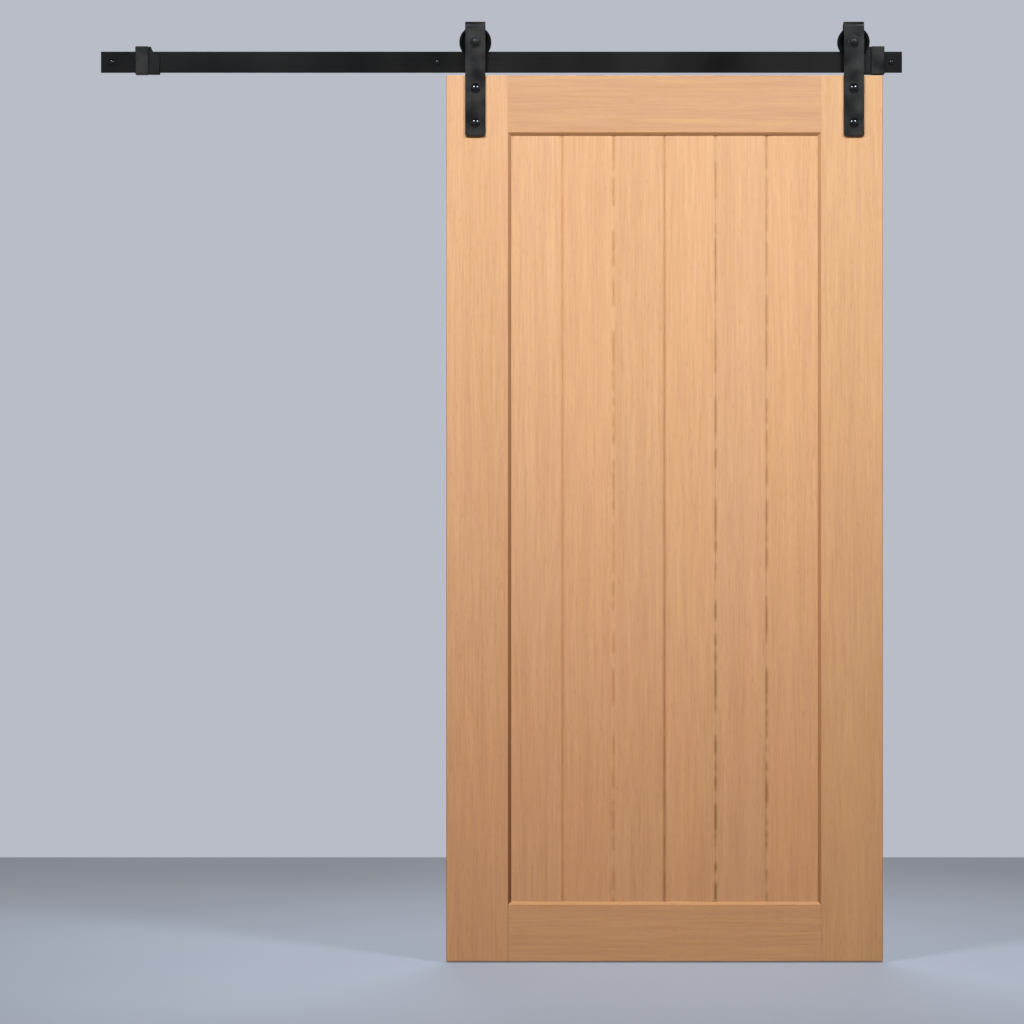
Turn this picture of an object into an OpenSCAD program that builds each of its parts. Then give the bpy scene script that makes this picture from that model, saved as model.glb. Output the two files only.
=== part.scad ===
// Sliding barn door: a framed and boarded leaf that hangs from two strap hangers
// and rolls along a flat wall track between two end stops.
//
// Millimetres. The origin is on the wall plane, at the middle of the track's length and height.
// X runs along the track to the right, Y points into the wall and Z points up.
// The leaf is drawn at the right-hand end of its travel, with its wheel in the right stop.

/* [Leaf] */
// Width of the leaf
door_w = 1035; // [900:5:1150]
// Height of the leaf
door_h = 2100; // [1900:10:2400]
// Thickness of the stiles and rails
door_t = 40; // [36:1:46]
// Width of each stile, bevel included
stile_w = 154; // [125:1:180]
// Height of the top rail, bevel included
top_rail_h = 142; // [120:1:180]
// Height of the bottom rail, bevel included
bottom_rail_h = 142; // [120:1:220]
// Width of the bevel round the panel
bevel_w = 7; // [5:0.5:14]
// Square lip between the bevel and the slot for the boards
panel_lip = 1; // [0.5:0.1:2]
// Thickness of the boards
board_t = 28; // [25:0.5:30]
// Width of the chamfer along the joints of the boards, half of a V
board_v = 5; // [3:0.5:7]
// Depth of the chamfer along the joints of the boards
board_v_d = 2.5; // [1.5:0.5:5]
// Thickness of the tongue on a board
tongue_t = 6; // [4:0.5:8]
// Length of the tongue on a board
tongue_l = 7; // [4:0.5:10]
// Depth of the groove in the frame that holds boards and rail ends
slot_d = 12; // [8:0.5:16]
// Chamfer round the outer edges of the leaf
leaf_ease = 2; // [0.5:0.5:4]
// Diameter of the dowels in the frame joints
dowel_d = 12; // [8:0.5:14]
// Length of the dowels
dowel_l = 100; // [70:1:120]
// First dowel, from the outer edge of its rail
dowel_edge = 42; // [35:1:55]
// Distance between the two dowels of a joint
dowel_pitch = 56; // [30:1:62]
// Width of the floor guide groove in the bottom edge
guide_w = 12; // [8:0.5:16]
// Depth of the floor guide groove
guide_d = 20; // [12:1:26]

/* [Track] */
// Length of the track bar
track_len = 1900; // [1700:10:2400]
// Height of the track bar
track_h = 50; // [48:1:64]
// Thickness of the track bar
track_t = 6; // [5:0.5:8]
// Small chamfer on the long edges of the track bar
track_ease = 0.8; // [0.3:0.1:1.5]
// Stand-off of the track from the wall
spacer_len = 40; // [35:1:60]
// Outer diameter of the wall spacers
spacer_d = 16; // [13:0.5:18]
// Wall screw at each end, from the end of the track
screw_inset = 25; // [15:1:32]
// Wall screw between the ends, from the middle of the track
middle_screw_x = -153; // [-400:1:300]
// Thread diameter of the wall screws
screw_d = 8; // [7.5:0.5:9]
// Smooth shank diameter of the wall screws
shank_d = 7; // [6:0.5:7]
// Threaded length past the wall plane
screw_bite = 40; // [30:1:80]
// Pointed end of the wall screws
screw_tip = 9; // [5:0.5:14]
// Head diameter of the wall screws
screw_head_d = 15; // [13:0.5:17]
// Head height of the wall screws
screw_head_h = 5.5; // [4.5:0.5:8]

/* [Hangers] */
// Width of the hanger straps
strap_w = 48; // [42:1:60]
// Thickness of the hanger straps
strap_t = 6; // [5:0.5:8]
// Inside radius of the two bends
bend_r = 6; // [3:0.5:9]
// Chamfer on the long edges of the straps
strap_ease = 1.2; // [0.4:0.1:2]
// Radius of the strap's lower corners
strap_corner_r = 5; // [2:0.5:12]
// Centre line of each hanger, from the edge of the leaf
hanger_inset = 69; // [55:1:80]
// Length of strap on the face of the leaf
strap_foot = 144; // [135:1:180]
// Length of the rear leg below the axle
rear_leg = 22; // [18:1:22]
// Upper bolt, from the top of the leaf
upper_bolt = 31; // [20:1:50]
// Lower bolt, from the top of the leaf
lower_bolt = 113; // [90:1:120]
// Thread diameter of the strap bolts
bolt_d = 8; // [6:0.5:10]
// Dome diameter of the strap bolts
bolt_head_d = 23; // [18:0.5:28]
// Dome height of the strap bolts
bolt_head_h = 6; // [4:0.5:9]
// Outer diameter of the barrel nuts
barrel_d = 12; // [11:0.5:15]
// Flange diameter of the barrel nuts
barrel_flange_d = 20; // [18:0.5:26]
// Flange thickness of the barrel nuts
barrel_flange_h = 3; // [2.8:0.1:5]

/* [Wheels] */
// Outer diameter of the wheel flanges
wheel_d = 76; // [72:1:80]
// Depth of the wheel groove, from flange to tread
flange_h = 16; // [12:0.5:16.5]
// Width of the wheel
wheel_w = 20; // [18:0.5:24]
// Slack of the track bar in the groove, on each side
track_play = 0.8; // [0.4:0.1:1.2]
// Widening of each side of the groove towards its mouth
groove_flare = 1.8; // [0.5:0.1:2.4]
// Depth of the dish in each side of the wheel
dish_d = 2; // [1:0.1:2.5]
// Width of the flat band round the rim
rim_band = 6; // [4:0.5:9]
// Diameter of the hub face
hub_d = 40; // [36:0.5:44]
// Gap between the wheel and each leg of the strap
wheel_side_gap = 3; // [2:0.5:6]
// Gap between the wheel and the top of the strap
crown_gap = 4; // [3:0.5:10]
// Diameter of the axle bolts
axle_d = 12; // [10:0.5:13]
// Head diameter of the axle bolts
axle_head_d = 22; // [19:0.5:26]
// Head height of the axle bolts
axle_head_h = 7; // [5:0.5:10]
// Diameter of the washers on the axles
washer_d = 28; // [24:0.5:34]
// Thickness of the washers on the axles
washer_t = 2; // [1.5:0.1:3]
// Width across flats of the axle nuts
axle_nut_w = 19; // [18:0.5:22]
// Height of the axle nuts
axle_nut_h = 8; // [6:0.5:12]
// Outer diameter of the spacer bushes on the axles
bush_d = 17; // [16:0.5:18]
// Outer diameter of the ball bearings
bearing_d = 28; // [27:0.5:30]
// Width of the ball bearings
bearing_w = 8; // [7:0.5:9]
// Diameter of the balls
ball_d = 4.6; // [4:0.1:4.8]

/* [Stops] */
// Length of the steel body of a stop
stop_len = 32; // [24:1:50]
// Length of the rubber bumper of a stop
bumper_len = 26; // [25:1:40]
// Thickness of a stop, across the track
stop_t = 22; // [18:0.5:24]
// Height of a stop above the track
stop_rise = 12; // [8:0.5:14]
// Depth of a stop below the track
stop_drop = 5; // [3:0.5:6]
// Chamfer on the edges of a stop
stop_ease = 1.5; // [0.5:0.1:2.5]
// Step from the steel body in to the bumper
bumper_step = 0.8; // [0.3:0.1:1.5]
// Toe of the bumper, from the centre of a wheel against it
bumper_toe = 15; // [12:0.5:20]
// Left stop, from the left end of the track
left_stop_inset = 82; // [40:1:200]
// Right stop, from the right end of the track
right_stop_inset = 42; // [36:1:160]
// Diameter of the set screws in the stops
set_screw_d = 6; // [4:0.5:8]
// Distance between the two set screws of a stop
set_screw_pitch = 24; // [16:1:34]

/* [Fits] */
// Gap between the leaf and the track above it
door_gap = 7.5; // [6.5:0.5:12]
// Gap between rolling or meeting pieces
run_gap = 0.3; // [0.2:0.05:0.6]
// Radial clearance of pins, bolts and bearings in their seats
seat_gap = 0.05; // [0.03:0.01:0.1]
// Radial clearance of bolts in drilled steel
drill_gap = 0.25; // [0.1:0.05:0.5]
// Clearance of boards and stops in their slots, on each side
slot_gap = 0.15; // [0.05:0.05:0.3]
// Radial clearance of the balls in the races
ball_gap = 0.1; // [0.05:0.01:0.2]
// Room left past the end of a tongue, dowel or board
end_gap = 1; // [0.5:0.1:2]

/* [Hidden] */
$fn = 96;

SIDES = ["left", "right"];
BOARDS = [1, 2, 3, 4, 5, 6];

oak = [0.88, 0.70, 0.53];
beech = [0.85, 0.71, 0.52];
black_coat = [0.16, 0.16, 0.165];
black_oxide = [0.10, 0.10, 0.105];
black_nylon = [0.12, 0.12, 0.12];
rubber = [0.07, 0.07, 0.07];
bright_steel = [0.74, 0.75, 0.77];
brass = [0.80, 0.63, 0.30];

// Length added to a cutting shape so that it passes through the faces it cuts
past = 1;

// Places across the track (Y) and up (Z)
track_y = -(spacer_len + track_t / 2);
strap_half = wheel_w / 2 + wheel_side_gap;
leaf_front = track_y - strap_half;
leaf_mid_y = leaf_front + door_t / 2;
leaf_back = leaf_front + door_t;
strap_front = leaf_front - strap_t;
strap_rear = track_y + strap_half + strap_t;
tread_d = wheel_d - 2 * flange_h;
axle_z = track_h / 2 + tread_d / 2 + run_gap;
strap_top = axle_z + wheel_d / 2 + crown_gap + strap_t;
bend_z = strap_top - strap_t - bend_r;
leaf_top = -track_h / 2 - door_gap;
leaf_bottom = leaf_top - door_h;

// Places along the track (X)
function dir(side) = side == "left" ? -1 : 1;
function stop_inset(side) = side == "left" ? left_stop_inset : right_stop_inset;
function stop_face_x(side) = dir(side) * (track_len / 2 - stop_inset(side));
function bumper_back_x(side) = stop_face_x(side) - dir(side) * stop_len;
function limit_x(side) = bumper_back_x(side) - dir(side) * (bumper_len + bumper_toe);
right_wheel_x = limit_x("right");
leaf_right = right_wheel_x + hanger_inset;
leaf_left = leaf_right - door_w;
function wheel_x(side) = side == "left" ? leaf_left + hanger_inset : right_wheel_x;
end_screw_x = track_len / 2 - screw_inset;
SCREW_X = [-end_screw_x, middle_screw_x, end_screw_x];

// Frame and panel of the leaf
panel_slot = board_t + 2 * slot_gap;
panel_left = leaf_left + stile_w;
panel_right = leaf_right - stile_w;
board_cover = (panel_right - panel_left) / len(BOARDS);
panel_bottom = leaf_bottom + bottom_rail_h;
panel_top = leaf_top - top_rail_h;
hold = slot_d - end_gap;
DOWEL_Z = [
    leaf_top - dowel_edge,
    leaf_top - dowel_edge - dowel_pitch,
    leaf_bottom + dowel_edge,
    leaf_bottom + dowel_edge + dowel_pitch
];
BOLT_Z = [leaf_top - upper_bolt, leaf_top - lower_bolt];

// Ball bearing
pitch_r = (axle_d + bearing_d) / 4;
race_land = 0.7 * ball_d / 2;
ball_count = 8;
cage_t = 1.6;
cage_rim = 0.45;
shield_t = 0.4;

// Small shapes that repeat: sockets, rims and chamfers on fasteners
socket_d = 3;
screw_socket_w = 5;
set_socket_w = 3;
barrel_socket_w = 6;
barrel_end = 4;
head_rim = 1.2;
thread_past_nut = 2;
dowel_ease = 1.5;
nut_ease = 1;
rim_ease = 1.5;

// Turns what is drawn along +Z to run along +Y, starting at y
module along_y(y) {
    translate([0, y, 0]) rotate([-90, 0, 0]) children();
}

// Turns what is drawn along +Z to run along +X, starting at x
module along_x(x) {
    translate([x, 0, 0]) rotate([0, 90, 0]) children();
}

// Rectangle about the origin with its corners cut at 45 degrees
module eased_rect(w, h, ease) {
    x = w / 2;
    y = h / 2;
    polygon([
        [-x + ease, -y], [x - ease, -y], [x, -y + ease], [x, y - ease],
        [x - ease, y], [-x + ease, y], [-x, y - ease], [-x, -y + ease]
    ]);
}

// Box about the origin with every edge chamfered
module eased_box(size, ease) {
    intersection() {
        linear_extrude(size.z, center = true) eased_rect(size.x, size.y, ease);
        rotate([90, 0, 0]) linear_extrude(size.y, center = true) eased_rect(size.x, size.z, ease);
        rotate([90, 0, 90]) linear_extrude(size.x, center = true) eased_rect(size.y, size.z, ease);
    }
}

module tube(d_out, d_in, h) {
    difference() {
        cylinder(d = d_out, h = h);
        translate([0, 0, -past]) cylinder(d = d_in, h = h + 2 * past);
    }
}

// Round head seated on z = 0 and standing towards -Z: a short rim under a spherical cap
module dome_head(d, h) {
    cap = h - head_rim;
    cap_r = (d * d / 4 + cap * cap) / (2 * cap);
    rotate_extrude() intersection() {
        translate([0, cap_r - h]) circle(cap_r);
        translate([0, -h]) square([d / 2, h]);
    }
}

module hex_socket(w, h) {
    cylinder(d = w / cos(30), h = h, $fn = 6);
}

// Flat bar of the track, with a clear hole for each wall screw
module track_rail() {
    color(black_coat) difference() {
        translate([0, track_y, 0]) rotate([90, 0, 90])
            linear_extrude(track_len, center = true) eased_rect(track_t, track_h, track_ease);
        for (x = SCREW_X) translate([x, 0, 0]) along_y(track_y - track_t)
            cylinder(d = screw_d + 2 * drill_gap, h = 2 * track_t);
    }
}

module wall_spacer(x) {
    color(black_coat) translate([x, 0, 0]) along_y(-spacer_len)
        tube(spacer_d, screw_d + 2 * drill_gap, spacer_len);
}

// Lag screws: socket dome head on the track, smooth shank, then thread and point in the wall
module wall_screws() {
    head_y = track_y - track_t / 2;
    shank_r = shank_d / 2;
    thread_r = screw_d / 2;
    thread_z = -head_y;
    tip_z = thread_z + screw_bite;
    color(black_oxide) for (x = SCREW_X) translate([x, 0, 0]) along_y(head_y) {
        difference() {
            dome_head(screw_head_d, screw_head_h);
            translate([0, 0, -screw_head_h - past]) hex_socket(screw_socket_w, socket_d + past);
        }
        rotate_extrude() polygon([
            [0, 0], [shank_r, 0], [shank_r, thread_z], [thread_r, thread_z],
            [thread_r, tip_z], [0, tip_z + screw_tip]
        ]);
    }
}

// Clear passage for the track bar through a stop
module track_passage(len) {
    cube([len, track_t + 2 * slot_gap, track_h + 2 * slot_gap], center = true);
}

// Places of the set screws of a stop, drawn from the back of the track outwards
module at_set_screws(side) {
    for (z = [-1, 1] * set_screw_pitch / 2)
        translate([stop_face_x(side) - dir(side) * stop_len / 2, 0, z])
            along_y(track_y + track_t / 2) children();
}

stop_h = stop_rise + track_h + stop_drop;
stop_mid_z = (stop_rise - stop_drop) / 2;
set_screw_l = (stop_t - track_t) / 2;

// Steel sleeve that slides on the track and is clamped from behind
module stop_body(side) {
    color(black_coat) difference() {
        translate([stop_face_x(side) - dir(side) * stop_len / 2, track_y, stop_mid_z])
            eased_box([stop_len, stop_t, stop_h], stop_ease);
        translate([stop_face_x(side), track_y, 0]) track_passage(4 * stop_len);
        at_set_screws(side) cylinder(d = set_screw_d + 2 * seat_gap, h = set_screw_l + past);
    }
}

// Rubber end of a stop, hollowed to the rim of the wheel that meets it
module stop_bumper(side) {
    step = 2 * bumper_step;
    color(rubber) difference() {
        translate([bumper_back_x(side) - dir(side) * bumper_len / 2, track_y, stop_mid_z])
            eased_box([bumper_len, stop_t - step, stop_h - step], stop_ease);
        translate([bumper_back_x(side), track_y, 0]) track_passage(4 * bumper_len);
        translate([limit_x(side), 0, axle_z]) along_y(track_y - stop_t)
            cylinder(d = wheel_d + 2 * run_gap, h = 2 * stop_t);
    }
}

module stop_set_screws() {
    color(black_oxide) for (s = SIDES) at_set_screws(s) difference() {
        cylinder(d = set_screw_d, h = set_screw_l);
        translate([0, 0, set_screw_l - socket_d]) hex_socket(set_socket_w, socket_d + past);
    }
}

// Section of a stile or rail: flat outer edge, slotted inner edge with a bevel on both faces
module frame_section(w) {
    slot_y = (door_t - panel_slot) / 2;
    bevel_y = slot_y - panel_lip;
    polygon([
        [0, 0], [w - bevel_w, 0], [w, bevel_y], [w, slot_y], [w - slot_d, slot_y],
        [w - slot_d, door_t - slot_y], [w, door_t - slot_y], [w, door_t - bevel_y],
        [w - bevel_w, door_t], [0, door_t]
    ]);
}

module stile_blank(side) {
    edge_x = side == "left" ? leaf_left : leaf_right;
    translate([edge_x, leaf_front, leaf_bottom])
        mirror([side == "left" ? 0 : 1, 0, 0]) linear_extrude(door_h) frame_section(stile_w);
}

// Outside of the finished leaf, with its edges eased all round
module leaf_envelope() {
    translate([(leaf_left + leaf_right) / 2, leaf_mid_y, (leaf_top + leaf_bottom) / 2])
        eased_box([door_w, door_t, door_h], leaf_ease);
}

module guide_groove() {
    translate([leaf_left - past, leaf_mid_y - guide_w / 2, leaf_bottom - past])
        cube([door_w + 2 * past, guide_w, guide_d + past]);
}

// Dowel shape in every frame joint: two at each corner, across the shoulder
module at_dowels() {
    for (x = [panel_left, panel_right], z = DOWEL_Z)
        translate([0, leaf_mid_y, z]) along_x(x - dowel_l / 2) children();
}

module dowel_bores() {
    at_dowels() translate([0, 0, -end_gap])
        cylinder(d = dowel_d + 2 * seat_gap, h = dowel_l + 2 * end_gap);
}

module stile(side) {
    color(oak) difference() {
        intersection() {
            stile_blank(side);
            leaf_envelope();
        }
        dowel_bores();
        guide_groove();
        for (z = BOLT_Z) translate([wheel_x(side), 0, z]) along_y(leaf_front - past)
            cylinder(d = barrel_d + 2 * seat_gap, h = door_t + 2 * past);
    }
}

// Rail between the stiles: its ends are coped over the bevels, with a tongue in the stile slots
module frame_rail(edge_z, turn, w) {
    rail_l = panel_right - panel_left + 2 * hold;
    difference() {
        intersection() {
            translate([(panel_left + panel_right) / 2, leaf_front, edge_z]) rotate([0, turn, 0])
                linear_extrude(rail_l, center = true) frame_section(w);
            leaf_envelope();
        }
        for (s = SIDES) stile_blank(s);
        dowel_bores();
    }
}

module top_rail() {
    color(oak) frame_rail(leaf_top, 90, top_rail_h);
}

module bottom_rail() {
    color(oak) difference() {
        frame_rail(leaf_bottom, -90, bottom_rail_h);
        guide_groove();
    }
}

module frame_dowels() {
    r = dowel_d / 2;
    color(beech) at_dowels() rotate_extrude() polygon([
        [0, 0], [r - dowel_ease, 0], [r, dowel_ease], [r, dowel_l - dowel_ease],
        [r - dowel_ease, dowel_l], [0, dowel_l]
    ]);
}

// Edges of a board at x, from its front face to its back face. A joint has a chamfer on both faces, of
// which the board lies on the side s, with a groove or a tongue between. Other edges lie in a frame slot.
function chamfered(x, s, middle) = concat(
    [[x + s * board_v, 0], [x, board_v_d]], middle, [[x, board_t - board_v_d], [x + s * board_v, board_t]]
);
function stepped(x, out, w) = let (low = (board_t - w) / 2) [
    [x, low], [out, low], [out, board_t - low], [x, board_t - low]
];
function groove_edge(x) = chamfered(x, 1, stepped(x, x + tongue_l + end_gap, tongue_t + 2 * slot_gap));
function tongue_edge(x) = chamfered(x, -1, stepped(x, x + tongue_l, tongue_t));
function held_edge(x, s) = [[x - s * hold, 0], [x - s * hold, board_t]];
function reversed(points) = [for (i = [len(points) - 1 : -1 : 0]) points[i]];

// Tongue-and-groove board, V-jointed on both faces, with its ends and outer edges held in the frame
module board(i) {
    left_x = panel_left + (i - 1) * board_cover;
    right_x = left_x + board_cover;
    near = i == 1 ? held_edge(left_x, 1) : groove_edge(left_x + slot_gap);
    far = i == len(BOARDS) ? held_edge(right_x, -1) : tongue_edge(right_x - slot_gap);
    color(oak) translate([0, leaf_mid_y - board_t / 2, panel_bottom - hold])
        linear_extrude(panel_top - panel_bottom + 2 * hold) polygon(concat(near, reversed(far)));
}

// Straight leg of a strap, from its rounded lower end up to the bend
module strap_leg(y, low_z) {
    corner_x = strap_w / 2 - strap_corner_r;
    difference() {
        translate([0, y, low_z]) linear_extrude(bend_z - low_z)
            eased_rect(strap_w, strap_t, strap_ease);
        for (m = [0, 1]) mirror([m, 0, 0])
            translate([corner_x, y + strap_t, low_z + strap_corner_r]) rotate([90, 0, 0])
                linear_extrude(2 * strap_t) difference() {
                    translate([0, -strap_corner_r - past]) square(strap_corner_r + past);
                    circle(strap_corner_r);
                }
    }
}

// Quarter bend of a strap, swept from the same section as its legs
module strap_bend() {
    rotate_extrude(angle = 90) translate([bend_r + strap_t / 2, 0])
        eased_rect(strap_t, strap_w, strap_ease);
}

// Flat bar bent over the wheel: a long front leg on the leaf and a short leg behind
module hanger_strap(side) {
    bend_y = strap_half - bend_r;
    color(black_coat) translate([wheel_x(side), 0, 0]) difference() {
        union() {
            strap_leg(strap_front + strap_t / 2, leaf_top - strap_foot);
            strap_leg(strap_rear - strap_t / 2, axle_z - rear_leg);
            translate([0, track_y - bend_y, bend_z]) rotate([90, 0, -90]) strap_bend();
            translate([0, track_y + bend_y, bend_z]) rotate([90, 0, 90]) strap_bend();
            translate([0, track_y, strap_top - strap_t / 2]) rotate([90, 0, 0])
                linear_extrude(2 * bend_y, center = true) eased_rect(strap_w, strap_t, strap_ease);
        }
        translate([0, 0, axle_z]) along_y(strap_front - past)
            cylinder(d = axle_d + 2 * drill_gap, h = strap_rear - strap_front + 2 * past);
        for (z = BOLT_Z) translate([0, leaf_front, z])
            cube([bolt_d + 2 * drill_gap, 3 * strap_t, bolt_d + 2 * drill_gap], center = true);
    }
}

// Places of the strap bolts on both hangers
module at_bolts() {
    for (s = SIDES, z = BOLT_Z) translate([wheel_x(s), 0, z]) children();
}

barrel_l = door_t - end_gap;
bolt_l = strap_t + barrel_l - 2 * barrel_end;

// Carriage bolts: smooth dome, square neck held by the strap, and a shank into the barrel nut
module hanger_bolts() {
    color(black_oxide) at_bolts() along_y(strap_front) {
        dome_head(bolt_head_d, bolt_head_h);
        translate([-bolt_d / 2, -bolt_d / 2, 0]) cube([bolt_d, bolt_d, strap_t]);
        cylinder(d = bolt_d, h = bolt_l);
    }
}

// Barrel nuts let in from the back of the leaf, with a key socket in the flange
module barrel_nuts() {
    color(black_oxide) at_bolts() along_y(leaf_back - barrel_l) difference() {
        union() {
            cylinder(d = barrel_d, h = barrel_l);
            translate([0, 0, barrel_l]) mirror([0, 0, 1])
                dome_head(barrel_flange_d, barrel_flange_h);
        }
        translate([0, 0, -past])
            cylinder(d = bolt_d + 2 * seat_gap, h = barrel_l - barrel_end + past);
        translate([0, 0, barrel_l + barrel_flange_h - socket_d])
            hex_socket(barrel_socket_w, socket_d + past);
    }
}

// Moves what is drawn about the origin to an axle, at the given place along Y
module on_axle(side, y) {
    translate([wheel_x(side), 0, axle_z]) along_y(y) children();
}

module axle_bolt(side) {
    color(black_oxide) on_axle(side, strap_front - washer_t) {
        dome_head(axle_head_d, axle_head_h);
        cylinder(
            d = axle_d,
            h = strap_rear - strap_front + 2 * washer_t + axle_nut_h + thread_past_nut
        );
    }
}

module axle_washers() {
    color(black_oxide) for (s = SIDES, y = [strap_front - washer_t, strap_rear])
        on_axle(s, y) tube(washer_d, axle_d + 2 * drill_gap, washer_t);
}

// Hexagon nuts with both ends turned to a bevel
module axle_nuts() {
    face_r = axle_nut_w / 2;
    corner_r = face_r / cos(30);
    color(black_oxide) for (s = SIDES) on_axle(s, strap_rear + washer_t) difference() {
        intersection() {
            cylinder(r = corner_r, h = axle_nut_h, $fn = 6);
            rotate_extrude() polygon([
                [0, 0], [face_r, 0], [corner_r, nut_ease], [corner_r, axle_nut_h - nut_ease],
                [face_r, axle_nut_h], [0, axle_nut_h]
            ]);
        }
        translate([0, 0, -past]) cylinder(d = axle_d + 2 * seat_gap, h = axle_nut_h + 2 * past);
    }
}

// Bushes that hold the bearing's inner ring in the middle of the strap
module axle_bushes(side) {
    bush_l = strap_half - bearing_w / 2;
    color(bright_steel) for (y = [track_y - strap_half, track_y + bearing_w / 2])
        on_axle(side, y) tube(bush_d, axle_d + 2 * seat_gap, bush_l);
}

// Ring of a ball bearing about z = 0, with a round race turned in it
module race_ring(r_in, r_out) {
    rotate_extrude() difference() {
        translate([r_in, -bearing_w / 2]) square([r_out - r_in, bearing_w]);
        translate([pitch_r, 0]) circle(ball_d / 2 + ball_gap);
    }
}

module bearing_inner_ring(side) {
    color(bright_steel) on_axle(side, track_y)
        race_ring(axle_d / 2 + seat_gap, pitch_r - race_land);
}

module bearing_outer_ring(side) {
    color(bright_steel) on_axle(side, track_y) race_ring(pitch_r + race_land, bearing_d / 2);
}

module bearing_shields(side) {
    bore = 2 * (pitch_r - race_land + run_gap);
    rim = 2 * (pitch_r + race_land - seat_gap);
    color(bright_steel) for (z = [-bearing_w / 2 + shield_t, bearing_w / 2 - 2 * shield_t])
        on_axle(side, track_y + z) tube(rim, bore, shield_t);
}

module at_balls(side) {
    on_axle(side, track_y) for (i = [0 : ball_count - 1])
        rotate([0, 0, i * 360 / ball_count]) translate([pitch_r, 0, 0]) children();
}

// Ring with a round pocket drilled through it for each ball
module bearing_cage(side) {
    cage_w = ball_d + 2 * (ball_gap + cage_rim);
    color(brass) difference() {
        on_axle(side, track_y - cage_w / 2)
            tube(2 * pitch_r + cage_t, 2 * pitch_r - cage_t, cage_w);
        at_balls(side) rotate([0, 90, 0])
            cylinder(d = ball_d + 2 * ball_gap, h = 2 * cage_t, center = true);
    }
}

module bearing_balls(side) {
    color(bright_steel) at_balls(side) sphere(d = ball_d);
}

// One side of the wheel's section, from the hub out to the rim and in to the tread
function wheel_side(s) = let (
    face = s * wheel_w / 2,
    floor = s * (wheel_w / 2 - dish_d),
    rim_r = wheel_d / 2,
    root = s * (track_t / 2 + track_play),
    mouth = s * (track_t / 2 + track_play + groove_flare)
) [
    [0, face], [hub_d / 2, face], [hub_d / 2 + dish_d, floor],
    [rim_r - rim_band - dish_d, floor], [rim_r - rim_band, face],
    [rim_r - rim_ease, face], [rim_r, face - s * rim_ease], [rim_r, mouth], [tread_d / 2, root]
];

// Grooved wheel, bored from the front for its bearing up to a shoulder
module wheel(side) {
    seat_z = -wheel_w / 2 - past;
    color(black_nylon) on_axle(side, track_y) difference() {
        rotate_extrude() polygon(concat(wheel_side(-1), reversed(wheel_side(1))));
        translate([0, 0, seat_z])
            cylinder(d = bearing_d + 2 * seat_gap, h = bearing_w / 2 - seat_z);
        translate([0, 0, seat_z])
            cylinder(r = pitch_r + race_land, h = wheel_w + 2 * past);
    }
}

track_rail();
wall_screws();
stop_set_screws();
wall_spacer(SCREW_X[0]);  // wall_spacer_left
wall_spacer(SCREW_X[1]);  // wall_spacer_middle
wall_spacer(SCREW_X[2]);  // wall_spacer_right
top_rail();
bottom_rail();
frame_dowels();
hanger_bolts();
barrel_nuts();
axle_washers();
axle_nuts();
for (i = BOARDS) board(i);
for (s = SIDES) {
    stop_body(s);
    stop_bumper(s);
    stile(s);
    hanger_strap(s);
    axle_bolt(s);
    axle_bushes(s);
    bearing_inner_ring(s);
    bearing_outer_ring(s);
    bearing_shields(s);
    bearing_cage(s);
    bearing_balls(s);
    wheel(s);
}
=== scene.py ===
"""Looks of a sliding barn door: a framed and boarded oak leaf on strap hangers under a flat black track."""
import math

import bmesh
import bpy
import numpy as np
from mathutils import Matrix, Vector


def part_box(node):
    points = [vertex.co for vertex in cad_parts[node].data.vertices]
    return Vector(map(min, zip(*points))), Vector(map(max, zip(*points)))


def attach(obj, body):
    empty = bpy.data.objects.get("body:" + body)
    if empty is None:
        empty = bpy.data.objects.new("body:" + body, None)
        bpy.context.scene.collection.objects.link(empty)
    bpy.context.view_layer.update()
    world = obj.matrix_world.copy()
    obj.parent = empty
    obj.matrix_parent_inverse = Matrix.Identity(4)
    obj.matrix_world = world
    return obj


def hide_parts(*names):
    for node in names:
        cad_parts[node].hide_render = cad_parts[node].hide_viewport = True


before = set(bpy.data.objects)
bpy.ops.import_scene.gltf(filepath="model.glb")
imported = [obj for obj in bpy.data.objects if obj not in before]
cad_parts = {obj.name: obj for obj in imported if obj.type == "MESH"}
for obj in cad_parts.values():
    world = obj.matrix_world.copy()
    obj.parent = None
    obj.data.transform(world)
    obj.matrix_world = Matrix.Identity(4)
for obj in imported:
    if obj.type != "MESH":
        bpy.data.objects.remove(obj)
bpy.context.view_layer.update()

MM = 0.001
SIDES = ("left", "right")
BOARDS = [f"board_{i}" for i in range(1, 7)]

# Camera: square on to the leaf, far enough off that its edges stay parallel
CAMERA_DISTANCE = 9.0
VIEW_WIDTH = 2.426
AIM_X = 0.025
AIM_Z = -1.067
SENSOR = 36.0

# Stage
FLOOR_DROP = 3 * MM
FLOOR_BEHIND = 2.7
FLOOR_REACH = 14.0
COOL = "#E8F4FF"
WARM = "#FFC894"
LAMP_SPREAD = math.radians(90)
FLOOR_CLOUDS = 1.1
FLOOR_TONES = [(0.3, "#A9ADB6"), (0.7, "#AFB3BC")]
FLOOR_BOUNCE = "#665240"
FLOOR_LIT = "#7E818A"
FLOOR_GLOW = 0.46
AMBIENT = 0.05
BACKDROP = "#B9BDC8"
OVERHEAD = "#3A3B3E"
OVERHEAD_LIMITS = {"From Min": 0.35, "From Max": 0.8}

# Turned pieces have this many points round their axis, a multiple of 4 and of 6
ROUND = 48
DOME_STEPS = 14
SAME_POINT = 1e-9
SMOOTH_BELOW = math.radians(32)

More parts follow.
